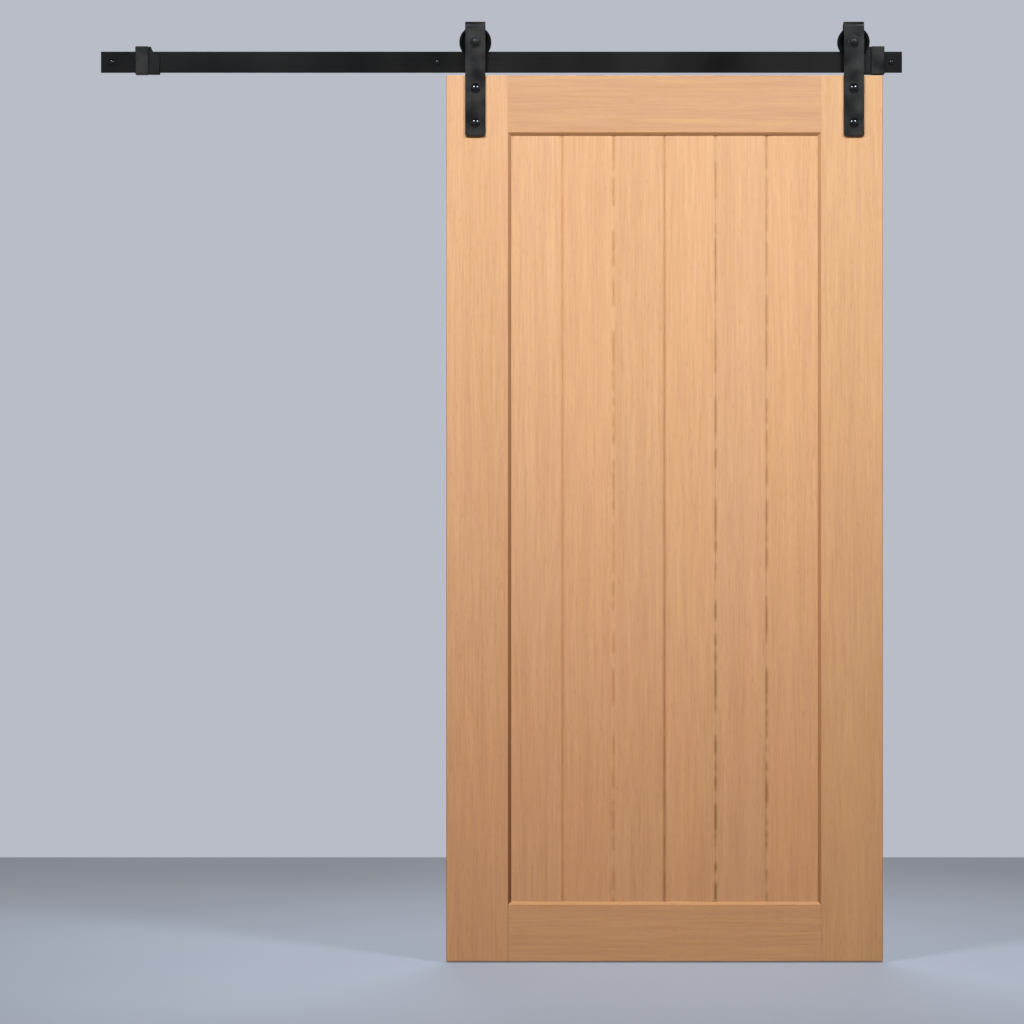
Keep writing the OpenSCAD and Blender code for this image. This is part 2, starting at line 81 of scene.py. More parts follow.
# Fasteners
HEAD_RIM = 1.2 * MM
SOFT_EDGE = 0.35 * MM
BOLT_HEAD_D = 23 * MM
BOLT_D = 8 * MM
BARREL_D = 12 * MM
BARREL_FLANGE_D = 20 * MM
BARREL_FLANGE_H = 3 * MM
BARREL_SOCKET_W = 6 * MM
BARREL_BORE_D = 8.1 * MM
BARREL_END = 4 * MM
SOCKET_DEEP = 3 * MM
SOCKET_MOUTH = 0.5 * MM
CROWN_R = 0.4 * MM
TIP_R = 0.1 * MM
# Radius at which a dome meets its key socket, over the socket's width
SOCKET_RIM = 0.62
# A thread's flank takes up one pitch over this number
FLANKS = 3.2
AXLE_D = 12 * MM
AXLE_HEAD_H = 7 * MM
AXLE_PITCH = 1.75 * MM
AXLE_THREAD = 14 * MM
AXLE_THREAD_DEEP = 0.9 * MM
AXLE_TIP = 1 * MM
AXLE_ROWS = 12
WASHER_T = 2 * MM
WASHER_EDGE = 0.7 * MM
WASHER_HOLE_D = 12.5 * MM
NUT_W = 19 * MM
NUT_HOLE_D = 12.1 * MM
NUT_SLOPE = 0.6
NUT_MOUTH = 0.8 * MM
NUT_ROWS = 33
SCREW_HEAD_D = 15 * MM
SCREW_HEAD_H = 5.5 * MM
SCREW_SOCKET_W = 5 * MM
SCREW_SHANK_D = 7 * MM
SCREW_D = 8 * MM
SCREW_ROOT_D = 5.6 * MM
SCREW_PITCH = 3.2 * MM
SCREW_TIP = 9 * MM
SCREW_POINT = 0.02
SCREW_SHANK_END = -0.1 * MM
SCREW_ROWS = 14
SPACER_HOLE_D = 8.5 * MM
SPACER_EDGE = 0.6 * MM

# Straps
STRAP_T = 6 * MM
BEND_R = 6 * MM
STRAP_EASE = 1.2 * MM
STRAP_CORNER = 5 * MM
REAR_LEG = 22 * MM
BEND_STEPS = 15
CORNER_STEPS = 9

# Wheels
TREAD_R = 22 * MM
GROOVE_ROOT = 3.8 * MM
GROOVE_MOUTH = 5.6 * MM
RIM_BAND = 6 * MM
DISH = 2 * MM
HUB_R = 20 * MM
SEAT_R = 14.05 * MM
SHOULDER_R = 11.61 * MM
SHOULDER_Y = 4 * MM
# Rounding of the section's corners from the hub to the tread, and of the bore's, in millimetres
WHEEL_EASE = [0.6, 1.2, 1.2, 0.6, 1.5, 0.8, 0.5]
BORE_EASE = [0.5, 0.2, 0.2, 0.5]

# Leaf
BEVEL_W = 7 * MM
BOARD_V = 5 * MM
WELD_GAP = 0.01 * MM
SOFTEN_ABOVE = math.radians(28)


def linear(code):
    """Linear RGBA of an sRGB hex colour."""
    parts = [int(code[i:i + 2], 16) / 255 for i in (1, 3, 5)]
    return tuple(c / 12.92 if c <= 0.04045 else ((c + 0.055) / 1.055) ** 2.4 for c in parts) + (1.0,)


def span(node):
    """Lowest and highest corner of a node, as arrays."""
    low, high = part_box(node)
    return np.array(low), np.array(high)


# Shapes


def eased(corners, trim, closed=False, steps=5):
    """Outline through the corners, with each corner turned into a circular arc.

    The arc starts and ends trim away from its corner and is the rational quadratic curve on its two
    tangents, whose middle weight is the sine of half the corner's angle.
    """
    corner = np.array(corners, float)
    trim = np.broadcast_to(np.asarray(trim, float), len(corner))[:, None].copy()
    before = np.roll(corner, 1, 0) - corner
    after = np.roll(corner, -1, 0) - corner
    before /= np.linalg.norm(before, axis=1, keepdims=True)
    after /= np.linalg.norm(after, axis=1, keepdims=True)
    if not closed:
        trim[[0, -1]] = 0
    weight = np.sqrt((1 - (before * after).sum(1)) / 2)[:, None, None]
    u = np.linspace(0, 1, steps)[None, :, None]
    start, middle, end = (1 - u) ** 2, 2 * weight * u * (1 - u), u ** 2
    arc = start * (corner + before * trim)[:, None]
    arc = arc + middle * corner[:, None] + end * (corner + after * trim)[:, None]
    outline = (arc / (start + middle + end)).reshape(-1, 2)
    step = np.linalg.norm(outline - np.roll(outline, 1, 0), axis=1)
    step[0] = step[0] if closed else 1
    return outline[step > SAME_POINT]


def many_sided(angle, sides):
    """Radius of a regular polygon at an angle, where the distance from its middle to a flat is 1."""
    wedge = 2 * math.pi / sides
    return 1 / np.cos(np.mod(angle, wedge) - wedge / 2)


def angles():
    """Angles of the points of a ring."""
    return np.arange(ROUND) * 2 * math.pi / ROUND


def turned(x, z, along, radius):
    """Rings round an axis along Y through x and z. Radius holds one value a ring, or one for each point."""
    angle = angles()
    along = np.asarray(along, float)[:, None]
    radius = np.asarray(radius, float)
    radius = radius if radius.ndim == 2 else radius[:, None]
    radius = radius + 0 * angle
    return np.stack([x + radius * np.cos(angle), along + 0 * radius, z + radius * np.sin(angle)], -1)


def flats(radius, sides):
    """Rings whose distance to their flats is radius, with that many sides."""
    return np.asarray(radius, float)[:, None] * many_sided(angles(), sides)


def dome(diameter, height, inner):
    """Radius and depth below the crown of a dome head, from the inner radius out and down its rim.

    The crown is a spherical cap that stands on a short rim with a soft lower edge.
    """
    cap = height - HEAD_RIM
    ball = (diameter ** 2 / 4 + cap ** 2) / (2 * cap)
    radius = np.linspace(inner, diameter / 2, DOME_STEPS)
    depth = ball - np.sqrt(ball ** 2 - radius ** 2)
    rim = eased([[diameter / 2, cap], [diameter / 2, height], [diameter / 4, height]], [0, SOFT_EDGE, 0])
    return np.concatenate([np.stack([radius, depth], 1), rim[1:]])


def helix(along, root, crest, pitch):
    """Radius of a screw thread at each place along its axis and angle round it.

    The flank is a triangle wave of the turns made so far less the angle, clipped to flat roots.
    """
    turn = np.mod(along[:, None] / pitch - angles() / (2 * math.pi), 1)
    tooth = np.clip(1 - FLANKS * np.abs(turn - 0.5), 0, 1)
    return root[:, None] + (crest - root)[:, None] * tooth


def loft(rings, wrap=False):
    """Points and faces of a surface through rings of points.

    With wrap the last ring joins the first. Otherwise each end is closed by a fan to its ring's middle.
    """
    rows, columns = rings.shape[:2]
    index = np.arange(rows * columns).reshape(rows, columns)
    low = index if wrap else index[:-1]
    high = np.roll(index, -1, 0) if wrap else index[1:]
    quads = np.stack([low, np.roll(low, -1, 1), np.roll(high, -1, 1), high], -1).reshape(-1, 4)
    points = rings.reshape(-1, 3)
    faces = quads.tolist()
    if not wrap:
        points = np.concatenate([points, rings[[0, -1]].mean(1)])
        for ring, middle in ((index[0], rows * columns), (index[-1][::-1], rows * columns + 1)):
            fan = np.stack([np.roll(ring, -1), ring, np.full(columns, middle)], -1)
            faces += fan.tolist()
    return points, faces


def piece(name, surfaces, body, slot, finish, *nodes):
    """One object of several surfaces, closed and facing outwards, that stands for CAD nodes on a body."""
    points, faces, count = [], [], 0
    for part_points, part_faces in surfaces:
        points.append(part_points)
        faces += [[i + count for i in face] for face in part_faces]
        count += len(part_points)
    mesh = bpy.data.meshes.new(name)
    mesh.from_pydata(np.concatenate(points).tolist(), [], faces)
    shell = bmesh.new()
    shell.from_mesh(mesh)
    bmesh.ops.recalc_face_normals(shell, faces=shell.faces)
    shell.to_mesh(mesh)
    shell.free()
    mesh.polygons.foreach_set("use_smooth", np.ones(len(mesh.polygons), bool))
    mesh.set_sharp_from_angle(angle=SMOOTH_BELOW)
    mesh.materials.append(finish)
    made = bpy.data.objects.new(name, mesh)
    bpy.context.scene.collection.objects.link(made)
    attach(made, body)
    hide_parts(*nodes)


# Materials


def add(tree, kind, inputs=None, stops=None, **settings):
    """Adds a node with its settings, its socket values or links, and the stops of a colour ramp."""
    made = tree.nodes.new(kind)
    for key, value in settings.items():
        setattr(made, key, value)
    for key, value in (inputs or {}).items():
        if isinstance(value, bpy.types.NodeSocket):
            tree.links.new(value, made.inputs[key])
        else:
            made.inputs[key].default_value = value
    for i, (place, colour) in enumerate(stops or []):
        ramp = made.color_ramp.elements
        stop = ramp[i] if i < len(ramp) else ramp.new(1.0)
        stop.position = place
        stop.color = colour
    return made


def finished(name, build):
    """Material whose shader inputs are what build returns for its node tree."""
    made = bpy.data.materials.new(name)
    made.use_nodes = True
    tree = made.node_tree
    tree.nodes.clear()
    shader = add(tree, "ShaderNodeBsdfPrincipled", build(tree))
    add(tree, "ShaderNodeOutputMaterial", {"Surface": shader.outputs[0]})
    return made


def mixed(tree, share, below, above, blend="MIX"):
    """Colour socket of one colour laid over another by a share. The numbers are the colour sockets."""
    made = add(tree, "ShaderNodeMix", {0: share, 6: below, 7: above}, data_type="RGBA", blend_type=blend)
    return made.outputs[2]


# Edges of the panel inside the frame
left_low, left_high = span("left_stile")
right_low, _ = span("right_stile")
top_low, _ = span("top_rail")
bottom_low, bottom_high = span("bottom_rail")
panel_left = left_high[0]
panel_right = right_low[0]
panel_top = top_low[2]
panel_bottom = bottom_high[2]

# Where the painted light and shade of a bevel and the colour and painted shade of a V joint start and where
# they are full, from the edge and from the root
BEVEL_PAINT_REACH = (1.3 * BEVEL_W, 0.9 * BEVEL_W)
JOINT_PAINT_REACH = (1.1 * BOARD_V, 0.3 * BOARD_V)
# Colour at the root of each V joint from left to right, partly its own colour and partly painted shade in
# the crease, its strength at the top and at the bottom of the panel, and the share of it that breaks off
# into painted light, a pale colour
JOINTS = [
    ("#B87E3C", 0.1, 0.25, 0.3), ("#B88A48", 0.2, 0.2, 0.9), ("#935A1C", 0.0, 0.5, 0.2),
    ("#6B5D24", 0.1, 0.55, 0.75), ("#7C5C1C", 0.05, 0.55, 0.75),
]
# Painted light: the pale colour of the breaks, which lifts the shade inside the V
BREAK_PAINTED_LIGHT = "#EDC492"
BREAK_PAINTED_LIGHT_STRENGTH = 0.55
BREAK_LIMITS = {"From Min": 0.44, "From Max": 0.56}
DASH_LENGTH = 80 * MM
NO_SHADE = (0, 0, 0, 1)


def downwards(tree, height, upper, lower):
    """Socket that goes from upper at the top of the panel to lower at its bottom."""
    panel = {"From Min": panel_top, "From Max": panel_bottom}
    way = {"Value": height, "To Min": upper, "To Max": lower, **panel}
    return add(tree, "ShaderNodeMapRange", way).outputs[0]


def bevel_painted_light_and_shade(axis, edge, tone_and_painted_shade, upper, lower):
    """Painted light and shade on the bevel of a frame piece: a colour laid over the wood, deep brown on the
    stiles and orange-brown on the rails.

    Axis is 0 for a stile and 2 for a rail, and edge is the place of its inner edge on that axis. The
    strength goes from upper at the top of the panel to lower at its bottom.
    """
    # Painted shade and light: a colour laid on the bevel within reach of the piece's inner edge
    def shade(tree, place):
        parts = add(tree, "ShaderNodeSeparateXYZ", {0: place}).outputs
        off = add(tree, "ShaderNodeMath", {0: parts[axis], 1: edge}, operation="SUBTRACT").outputs[0]
        off = add(tree, "ShaderNodeMath", {0: off}, operation="ABSOLUTE").outputs[0]
        down = downwards(tree, parts[2], upper, lower)
        near = {"Value": off, "From Min": BEVEL_PAINT_REACH[0], "From Max": BEVEL_PAINT_REACH[1], "To Max": down}
        return add(tree, "ShaderNodeMapRange", near).outputs[0], linear(tone_and_painted_shade)
    return shade


def groove_painted_light_and_shade(tree, place):
    """Joint colour and painted shade in the V joints of the boards, strongest at the root, with painted
    light in breaks for each joint.

    The joint's number is the place across the panel over the cover of a board, rounded. It picks the
    colour, the strengths at the top and the bottom, and the share of breaks from two ramps.
    """
    parts = add(tree, "ShaderNodeSeparateXYZ", {0: place}).outputs
    count = len(BOARDS)
    cover = (panel_right - panel_left) / count
    across = {0: parts[0], 1: 1 / cover, 2: -panel_left / cover}
    across = add(tree, "ShaderNodeMath", across, operation="MULTIPLY_ADD").outputs[0]
    number = add(tree, "ShaderNodeMath", {0: across}, operation="ROUND").outputs[0]
    off = add(tree, "ShaderNodeMath", {0: across, 1: number}, operation="SUBTRACT").outputs[0]
    off = add(tree, "ShaderNodeMath", {0: off}, operation="ABSOLUTE").outputs[0]
    root = {"Value": off, "From Min": JOINT_PAINT_REACH[0] / cover, "From Max": JOINT_PAINT_REACH[1] / cover}
    root = add(tree, "ShaderNodeMapRange", root).outputs[0]
    share = add(tree, "ShaderNodeMath", {0: number, 1: 1 / count}, operation="MULTIPLY").outputs[0]
    places = [(i + 0.5) / count for i in range(len(JOINTS))]
    stops = [(at, linear(joint[0])) for at, joint in zip(places, JOINTS)]
    tone_and_painted_shade = add(tree, "ShaderNodeValToRGB", {0: share}, stops)
    tone_and_painted_shade.color_ramp.interpolation = "CONSTANT"
    stops = [(at, joint[1:] + (1,)) for at, joint in zip(places, JOINTS)]
    stops = [(0, NO_SHADE)] + stops + [(1 - 0.5 / count, NO_SHADE)]
    strength = add(tree, "ShaderNodeValToRGB", {0: share}, stops)
    strength.color_ramp.interpolation = "CONSTANT"
    upper, lower, breaks = add(tree, "ShaderNodeSeparateColor", {0: strength.outputs[0]}).outputs
    down = downwards(tree, parts[2], upper, lower)
    step = add(tree, "ShaderNodeMath", {0: parts[2], 1: 1 / DASH_LENGTH}, operation="MULTIPLY").outputs[0]
    spot = add(tree, "ShaderNodeCombineXYZ", {0: number, 1: step}).outputs[0]
    dash = add(tree, "ShaderNodeTexNoise", {"Vector": spot, "Scale": 1.0, "Detail": 2.0}).outputs[0]
    # Painted light where a joint breaks off; elsewhere the root gets the joint's colour and painted shade
    gap = {"Value": dash, "To Min": breaks, "To Max": 0.0, **BREAK_LIMITS}
    gap = add(tree, "ShaderNodeMapRange", gap).outputs[0]
    share = {"Value": gap, "To Min": down, "To Max": BREAK_PAINTED_LIGHT_STRENGTH}
    share = add(tree, "ShaderNodeMapRange", share).outputs[0]
    mask = add(tree, "ShaderNodeMath", {0: share, 1: root}, operation="MULTIPLY").outputs[0]
    return mask, mixed(tree, gap, tone_and_painted_shade.outputs[0], linear(BREAK_PAINTED_LIGHT))


# Oak patterns: width and depth across the grain and length along it, in millimetres, then noise detail
OAK_PATTERNS = {
    "streak": (4.5, 6, 150, 3.0),
    "band": (30, 60, 1100, 2.0),
    "pore": (2.4, 3, 26, 1.0),
    "ray": (16, 16, 6, 2.0),
    "end": (3, 3, 3, 2.0),
}
# The grain sways by this much, in slow waves whose numbers in a metre are across, in depth and along it
GRAIN_SWAY = 9 * MM
SWAY_WAVES = (5, 5, 1.4)
# Noise between which a pattern sets in, and its strength
NOISE_LIMITS = {"From Min": 0.3, "From Max": 0.7}
RAY_LIMITS = {"From Min": 0.62, "From Max": 0.78, "To Max": 0.1}
PORE_LIMITS = {"From Min": 0.6, "From Max": 0.74, "To Max": 0.28}
# How squarely a face has to lie across the grain to show end grain
END_LIMITS = {"From Min": 0.8, "From Max": 0.95}
OAK_ROUGH = {"To Min": 0.5, "To Max": 0.62}
OAK_BUMP = {"Strength": 0.2, "Distance": 0.3 * MM}
PORE_RISE = -1.5
RAY_COLOUR = linear("#E6B98C")
PORE_COLOUR = linear("#A87446")
OAK_STREAKS = [
    (0.30, linear("#CE9966")), (0.42, linear("#D29C76")), (0.50, linear("#D4A06F")),
    (0.58, linear("#D6A178")), (0.70, linear("#D9A772")),
]
OAK_BANDS = [(0.3, linear("#F7F5F2")), (0.7, linear("#FFFFFF"))]
OAK_END = [(0.35, linear("#A87B50")), (0.65, linear("#CFA274"))]


def oak(name, along, shift, tone, painted_light_and_shade):
    """Straight-grained oak, planed and satin lacquered, with its grain along Z or along X.

    To the eye it is pale honey with fine yellow, pink and grey streaks, short darker pores, a few
    cross flecks and a soft sheen. Pores are drawn about three times as wide as real ones, to show.
    """
    def build(tree):
        coordinate = add(tree, "ShaderNodeTexCoord").outputs
        place = coordinate["Object"]
        turn = (0, math.pi / 2 if along == "X" else 0, 0)
        grain = {"Vector": place, "Location": shift, "Rotation": turn}
        grain = add(tree, "ShaderNodeMapping", grain).outputs[0]
        slow = add(tree, "ShaderNodeMapping", {"Vector": grain, "Scale": SWAY_WAVES}).outputs[0]
        sway = add(tree, "ShaderNodeTexNoise", {"Vector": slow, "Scale": 1.0, "Detail": 1.0}).outputs[1]
        bend = {0: sway, 1: (GRAIN_SWAY, GRAIN_SWAY, 0), 2: grain}
        bent = add(tree, "ShaderNodeVectorMath", bend, operation="MULTIPLY_ADD").outputs[0]
        noise = {}
        for pattern, (wide, deep, long, detail) in OAK_PATTERNS.items():
            scale = (1 / (wide * MM), 1 / (deep * MM), 1 / (long * MM))
            fitted = add(tree, "ShaderNodeMapping", {"Vector": bent, "Scale": scale}).outputs[0]
            field = {"Vector": fitted, "Scale": 1.0, "Detail": detail}
            noise[pattern] = add(tree, "ShaderNodeTexNoise", field).outputs[0]
        colour = add(tree, "ShaderNodeValToRGB", {0: noise["streak"]}, OAK_STREAKS).outputs[0]
        band = add(tree, "ShaderNodeValToRGB", {0: noise["band"]}, OAK_BANDS).outputs[0]
        colour = mixed(tree, 1.0, colour, band, "MULTIPLY")
        colour = mixed(tree, 1.0, colour, linear(tone), "MULTIPLY")
        ray = add(tree, "ShaderNodeMapRange", {"Value": noise["ray"], **RAY_LIMITS}).outputs[0]
        colour = mixed(tree, ray, colour, RAY_COLOUR)
        pore = add(tree, "ShaderNodeMapRange", {"Value": noise["pore"], **PORE_LIMITS}).outputs[0]
        colour = mixed(tree, pore, colour, PORE_COLOUR)
        axis = (1, 0, 0) if along == "X" else (0, 0, 1)
        facing = {0: coordinate["Normal"], 1: axis}
        facing = add(tree, "ShaderNodeVectorMath", facing, operation="DOT_PRODUCT").outputs["Value"]
        facing = add(tree, "ShaderNodeMath", {0: facing}, operation="ABSOLUTE").outputs[0]
        end = add(tree, "ShaderNodeMapRange", {"Value": facing, **END_LIMITS}).outputs[0]
        rings = add(tree, "ShaderNodeValToRGB", {0: noise["end"]}, OAK_END).outputs[0]
        colour = mixed(tree, end, colour, rings)
        # Painted light and shade on the bevels and in the V joints, with the joints' own colour, laid over
        # the wood
        mask, tone_and_painted_shade = painted_light_and_shade(tree, place)
        colour = mixed(tree, mask, colour, tone_and_painted_shade)
        rough = {"Value": noise["streak"], **NOISE_LIMITS, **OAK_ROUGH}
        rough = add(tree, "ShaderNodeMapRange", rough).outputs[0]
        height = {0: pore, 1: PORE_RISE, 2: noise["streak"]}
        height = add(tree, "ShaderNodeMath", height, operation="MULTIPLY_ADD").outputs[0]
        bump = add(tree, "ShaderNodeBump", {"Height": height, **OAK_BUMP})
        return {"Base Color": colour, "Roughness": rough, "Normal": bump.outputs[0], "IOR": 1.48}
    return finished(name, build)


# Share of the fine grain in a tone, the places of the two tones on their ramp, and the bump's strength
GRAIN_SHARE = 0.35
TONE_PLACES = (0.5, 0.85)
GRAIN_BUMP = 0.4


def grained(name, colours, sizes, rough, bump, **sockets):
    """Surface with a slow change of tone and a fine grain that also gives its bump.

    Colours are the darkest and lightest tone, sizes the slow and the fine pattern in millimetres, rough
    the lowest and highest roughness and bump the height of the grain in millimetres.
    """
    def build(tree):
        place = add(tree, "ShaderNodeTexCoord").outputs["Object"]
        slow = {"Vector": place, "Scale": 1 / (sizes[0] * MM), "Detail": 2.0}
        slow = add(tree, "ShaderNodeTexNoise", slow).outputs[0]
        fine = {"Vector": place, "Scale": 1 / (sizes[1] * MM), "Detail": 2.0}
        fine = add(tree, "ShaderNodeTexNoise", fine).outputs[0]
        both = {0: fine, 1: GRAIN_SHARE, 2: slow}
        both = add(tree, "ShaderNodeMath", both, operation="MULTIPLY_ADD").outputs[0]
        tones = [(at, linear(code)) for at, code in zip(TONE_PLACES, colours)]
        colour = add(tree, "ShaderNodeValToRGB", {0: both}, tones).outputs[0]
        spread = {"Value": slow, "To Min": rough[0], "To Max": rough[1], **NOISE_LIMITS}
        spread = add(tree, "ShaderNodeMapRange", spread).outputs[0]
        relief = {"Height": fine, "Strength": GRAIN_BUMP, "Distance": bump * MM}
        relief = add(tree, "ShaderNodeBump", relief)
        return {"Base Color": colour, "Roughness": spread, "Normal": relief.outputs[0], **sockets}
    return finished(name, build)


# Powder-coated steel: near black, with the fine orange peel of baked powder, a satin sheen and a slow
# change of tone that is painted sheen
coat = grained("black_powder_coat_satin", ("#0A0908", "#1A1816"), (220, 1.6), (0.3, 0.42), 0.12,
               **{"Specular IOR Level": 0.1})
# The same coat on bent and cut pieces, a little greyer and less smooth, with bigger blotches: the greyer
# tone is painted light and the blotches are painted sheen
painted_sheen_coat = grained("black_powder_coat_painted_sheen", ("#0D0C0B", "#2B2825"), (36, 1.6), (0.34, 0.48), 0.12,
                    **{"Specular IOR Level": 0.16})
# Oiled black-oxide steel: darker and smoother than the coat, so that domes show sharp lights
oxide = grained("black_oxide_steel_oiled", ("#070707", "#0F0E0E"), (12, 0.7), (0.1, 0.17), 0.02)
# Phosphated steel of the axles: dull dark grey, close to the straps, without sharp lights
phosphate = grained("black_phosphate_steel", ("#1A1918", "#262523"), (9, 0.8), (0.4, 0.5), 0.04,
                    **{"Specular IOR Level": 0.22})
# Moulded nylon: deep black with a soft even sheen
nylon = grained("black_nylon_moulded", ("#040404", "#090808"), (24, 0.9), (0.34, 0.44), 0.03,
                **{"Specular IOR Level": 0.06})
# Moulded rubber: matt, a little greyer where it is rubbed
rubber = grained("black_rubber_moulded", ("#100F0E", "#191816"), (14, 0.8), (0.55, 0.66), 0.06,
                 **{"Specular IOR Level": 0.15})
# Ground bearing steel: bright, with a faint cloudiness
steel = grained("bearing_steel_ground", ("#B9BCC0", "#D5D7DA"), (9, 0.4), (0.18, 0.28), 0.01, Metallic=1.0)
# Zinc-plated steel: bluish grey with a soft spangle
zinc = grained("zinc_plated_steel", ("#A9AEB4", "#C6CACF"), (6, 0.8), (0.28, 0.4), 0.01, Metallic=1.0)
# Rolled brass strip of the bearing cages
brass = grained("brass_rolled", ("#B08A3C", "#CFAE62"), (8, 0.5), (0.25, 0.36), 0.01, Metallic=1.0)
# Beech dowels: pale pinkish wood with a close speckle
beech = grained("beech_turned", ("#C99F72", "#DDB88C"), (7, 1.2), (0.6, 0.7), 0.05)


# Frame and boards of the leaf, which keep their solids and get oak and softened edges

# Direction of the grain, place in the pattern, tone, and painted light and shade of each wooden piece
WOOD = {
    "left_stile": ("Z", (0.31, 0.2, 0.7), "#FFFCF8", bevel_painted_light_and_shade(0, panel_left, "#693402", 0.5, 0.9)),
    "right_stile": ("Z", (1.43, 0.5, 2.1), "#FBFCF4", bevel_painted_light_and_shade(0, panel_right, "#8E4F1C", 0.35, 0.6)),
    "top_rail": ("X", (2.2, 0.9, 0.4), "#EDE9E3", bevel_painted_light_and_shade(2, panel_top, "#B87C42", 0.5, 0.5)),
    "bottom_rail": ("X", (3.7, 0.3, 1.2), "#FBFBF6", bevel_painted_light_and_shade(2, panel_bottom, "#BE7C32", 0.58, 0.58)),
}
BOARD_SHIFT = (0.17, 0.4, 1.3)
BOARD_TONES = ["#FFFDFB", "#FFFBF7", "#FCFBF7", "#FFFDF8", "#FDFCFA", "#FFFCF6"]
for number, (board, tone) in enumerate(zip(BOARDS, BOARD_TONES)):
    shift = tuple(step * number for step in BOARD_SHIFT)
    WOOD[board] = ("Z", shift, tone, groove_painted_light_and_shade)

# Widths of softened edges in millimetres
EASE = {"left_stop_body": 0.6, "right_stop_body": 0.6, "left_stop_bumper": 1.0, "right_stop_bumper": 1.0}
EASE.update({node: 0.5 for node in WOOD})
EASE["track_rail"] = 0.4

FINISH = {node: oak(f"oak_satin_lacquer_{node}", *look) for node, look in WOOD.items()}
FINISH.update({"track_rail": coat, "frame_dowels": beech, "stop_set_screws": oxide})
for side in SIDES:
    FINISH[f"{side}_stop_body"] = painted_sheen_coat
    FINISH[f"{side}_stop_bumper"] = rubber
    FINISH[f"{side}_axle_bushes"] = zinc
    FINISH[f"{side}_bearing_cage"] = brass
    for part in ("inner_ring", "outer_ring", "shields", "balls"):
        FINISH[f"{side}_bearing_{part}"] = steel

for node, finish in FINISH.items():
    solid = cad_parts[node]
    solid.data.materials.clear()
    solid.data.materials.append(finish)
for node, width in EASE.items():
    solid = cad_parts[node]
    weld = solid.modifiers.new("join_triangles", "WELD")
    weld.merge_threshold = WELD_GAP
    soft = solid.modifiers.new("soften_edges", "BEVEL")
    soft.width = width * MM
    soft.segments = 2
    soft.limit_method = "ANGLE"
    soft.angle_limit = SOFTEN_ABOVE
    soft.harden_normals = True


# Turned and bent metal pieces

bolts_low, bolts_high = span("hanger_bolts")
strap_low, _ = span("left_hanger_strap")
nuts_low, nuts_high = span("barrel_nuts")
head_r = BOLT_HEAD_D / 2
BOLT_PLACES = [
    (x, z)
    for x in (bolts_low[0] + head_r, bolts_high[0] - head_r)
    for z in (bolts_high[2] - head_r, bolts_low[2] + head_r)
]


def carriage_bolt(x, z):
    """Dome head, square neck in the strap and round shank, as rings from the crown to the end."""
    crown = bolts_low[1]
    seat = strap_low[1]
    head = dome(BOLT_HEAD_D, seat - crown, CROWN_R)
    neck = flats([BOLT_D / 2, BOLT_D / 2], 4)
    tip = bolts_high[1]
    end = eased([[BOLT_D / 2, seat + STRAP_T], [BOLT_D / 2, tip], [TIP_R, tip]], SOFT_EDGE)
    rings = [
        turned(x, z, crown + head[:, 1], head[:, 0]),
        turned(x, z, [seat, seat + STRAP_T], neck),
        turned(x, z, end[:, 1], end[:, 0]),
    ]
    return loft(np.concatenate(rings))


def barrel_nut(x, z):
    """Sleeve from the flange's key socket, over the dome and along the barrel, and back down its bore."""
    front, back = nuts_low[1], nuts_high[1]
    head = dome(BARREL_FLANGE_D, BARREL_FLANGE_H, BARREL_SOCKET_W * SOCKET_RIM)
    half = BARREL_SOCKET_W / 2
    floor_y = back - SOCKET_DEEP
    neck_y = back - BARREL_FLANGE_H
    wide, bore = BARREL_D / 2, BARREL_BORE_D / 2
    barrel = eased([[wide, neck_y], [wide, front], [bore, front]], SOFT_EDGE)
    rings = [
        turned(x, z, [floor_y, back], flats([half, half], 6)),
        turned(x, z, back - head[:, 1], head[:, 0]),
        turned(x, z, barrel[:, 1], barrel[:, 0]),
        turned(x, z, [neck_y - BARREL_END], [bore]),
    ]
    return loft(np.concatenate(rings))


def axle_bolt(node):
    """Dome head, shank and a threaded end with a soft tip."""
    low, high = span(node)
    x, z = (low[0] + high[0]) / 2, (low[2] + high[2]) / 2
    head = dome(high[0] - low[0], AXLE_HEAD_H, CROWN_R)
    seat = low[1] + AXLE_HEAD_H
    start = high[1] - AXLE_THREAD
    rows = np.linspace(start, high[1], int(AXLE_THREAD / AXLE_PITCH * AXLE_ROWS))
    crest = np.minimum(AXLE_D / 2, AXLE_D / 2 - AXLE_TIP + (high[1] - rows))
    thread = helix(rows, np.minimum(crest, AXLE_D / 2 - AXLE_THREAD_DEEP), crest, AXLE_PITCH)
    rings = [
        turned(x, z, low[1] + head[:, 1], head[:, 0]),
        turned(x, z, [seat, start], [AXLE_D / 2, AXLE_D / 2]),
        turned(x, z, rows, thread),
    ]
    return loft(np.concatenate(rings))


def washer(x, z, front):
    """Flat ring with punched, rounded edges: its section carried round the axle."""
    low, high = span("axle_washers")
    outer = (high[2] - low[2]) / 2
    section = [[WASHER_HOLE_D / 2, front], [outer, front], [outer, front + WASHER_T],
               [WASHER_HOLE_D / 2, front + WASHER_T]]
    outline = eased(section, [SOFT_EDGE, WASHER_EDGE, SOFT_EDGE, SOFT_EDGE], closed=True)
    return loft(turned(x, z, outline[:, 1], outline[:, 0]), wrap=True)


def axle_nut(x, z):
    """Hexagon nut: at each height its radius is the hexagon's or the turned bevel's, whichever is less."""
    low, high = span("axle_nuts")
    rows = np.linspace(low[1], high[1], NUT_ROWS)
    from_end = np.minimum(rows - low[1], high[1] - rows)
    cone = NUT_W / 2 - SOFT_EDGE + from_end / NUT_SLOPE
    hexagon = NUT_W / 2 * many_sided(angles(), 6)
    outside = turned(x, z, rows, np.minimum(hexagon, cone[:, None]))
    wide, bore = NUT_W / 2, NUT_HOLE_D / 2
    hole = eased([[wide, high[1]], [bore, high[1]], [bore, low[1]], [wide, low[1]]], NUT_MOUTH)[1:-1]
    return loft(np.concatenate([outside, turned(x, z, hole[:, 1], hole[:, 0])]), wrap=True)


